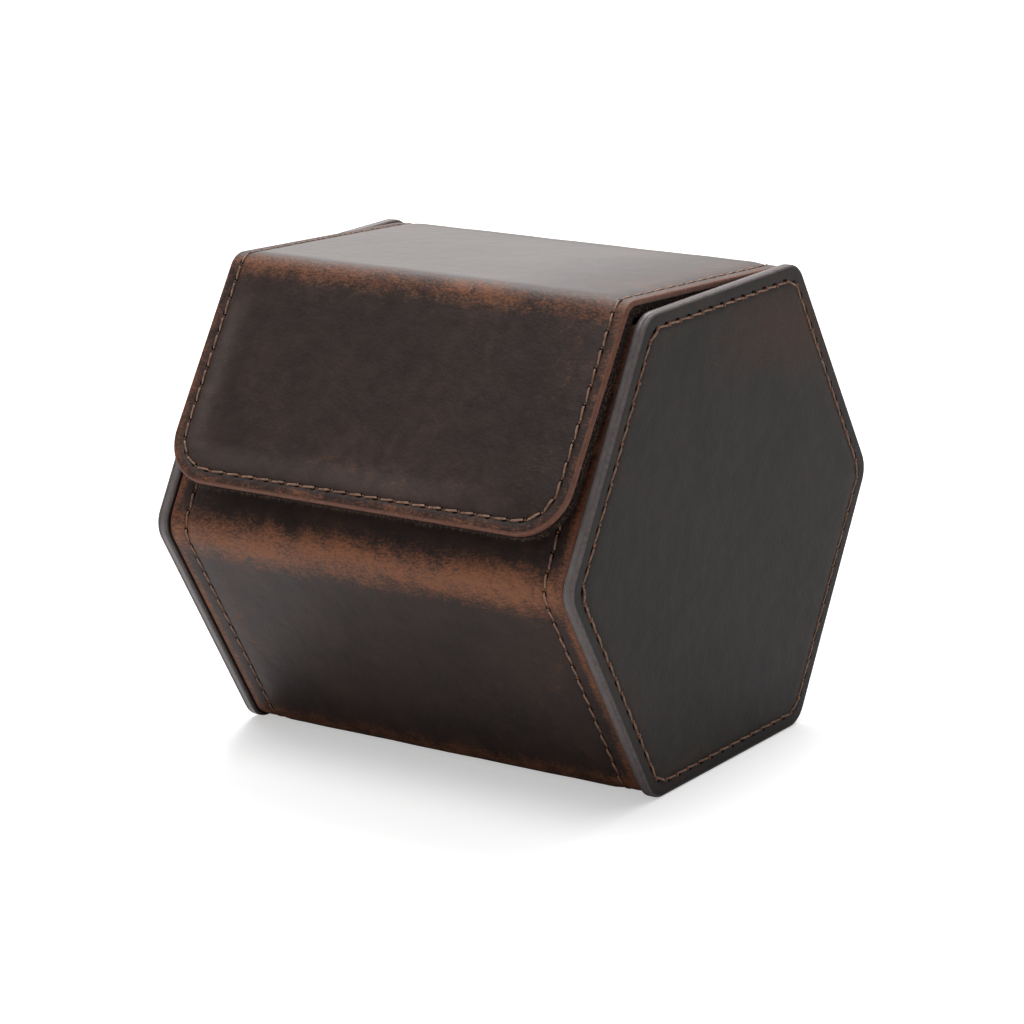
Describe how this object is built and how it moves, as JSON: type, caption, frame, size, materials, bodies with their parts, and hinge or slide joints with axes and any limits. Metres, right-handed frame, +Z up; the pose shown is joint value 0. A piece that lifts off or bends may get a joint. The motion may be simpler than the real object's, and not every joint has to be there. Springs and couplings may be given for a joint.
{
  "type": "leather watch case",
  "caption": "Hexagonal leather case for a wristwatch, with a wrap-over lid that folds at the rear edge, a magnetic front flap and a lift-out oval pillow.",
  "frame": {"origin": "middle of the case at floor level, on the plane of the end panels' bottom edges", "axes": "+X along the width from the left end panel to the right one, -Y the front where the flap is, +Z up"},
  "size_m": [0.0932, 0.1037, 0.0929],
  "materials": {
    "wrap_leather": "waxed pull-up leather, dark brown with lighter bends",
    "panel_leather": "waxed leather, near-black brown, matte",
    "panel_edge": "painted leather edge, grey-brown, satin",
    "suede": "brushed suede with a raw edge",
    "pillow_suede": "soft suede",
    "stiffener": "pressed grey board",
    "foam": "open-cell foam",
    "magnet": "nickel-plated disc"
  },
  "bodies": {
    "case": {"body_leather": "wrap_leather", "body_lining": "suede", "bottom_board": "stiffener", "lower_front_board": "stiffener", "lip_board": "stiffener", "lower_back_board": "stiffener", "upper_back_board": "stiffener", "catch_magnets": "magnet", "rear_fold_leather": "wrap_leather", "rear_fold_lining": "suede", "end_panel_left_leather": "panel_leather", "end_panel_left_stiffener": "stiffener", "end_panel_left_backing": "panel_edge", "end_plug_left": "suede", "end_panel_right_leather": "panel_leather", "end_panel_right_stiffener": "stiffener", "end_panel_right_backing": "panel_edge", "end_plug_right": "suede"},
    "lid": {"lid_leather": "wrap_leather", "lid_board": "stiffener", "lid_lining": "suede", "front_fold_leather": "wrap_leather", "front_fold_lining": "suede"},
    "flap": {"flap_leather": "wrap_leather", "flap_board": "stiffener", "flap_lining": "suede", "flap_magnets": "magnet"},
    "pillow": {"pillow_core": "foam", "pillow_cover": "pillow_suede", "pillow_cap_left": "pillow_suede", "pillow_cap_right": "pillow_suede"}
  },
  "joints": [
    {"name": "lid_hinge", "type": "hinge", "parent": "case", "child": "lid", "pos_m": [0, 0.02542, 0.08907], "axis": [-1, 0, 0], "range_deg": [0, 205], "deforming": ["rear_fold_leather", "rear_fold_lining"]},
    {"name": "flap_fold", "type": "hinge", "parent": "lid", "child": "flap", "pos_m": [0, -0.02806, 0.09235], "axis": [-1, 0, 0], "range_deg": [-2.3, 66], "deforming": ["front_fold_leather", "front_fold_lining"]},
    {"name": "pillow_lift", "type": "slide", "parent": "case", "child": "pillow", "axis": [0, 0, 1], "range_m": [0, 0.03]}
  ]
}
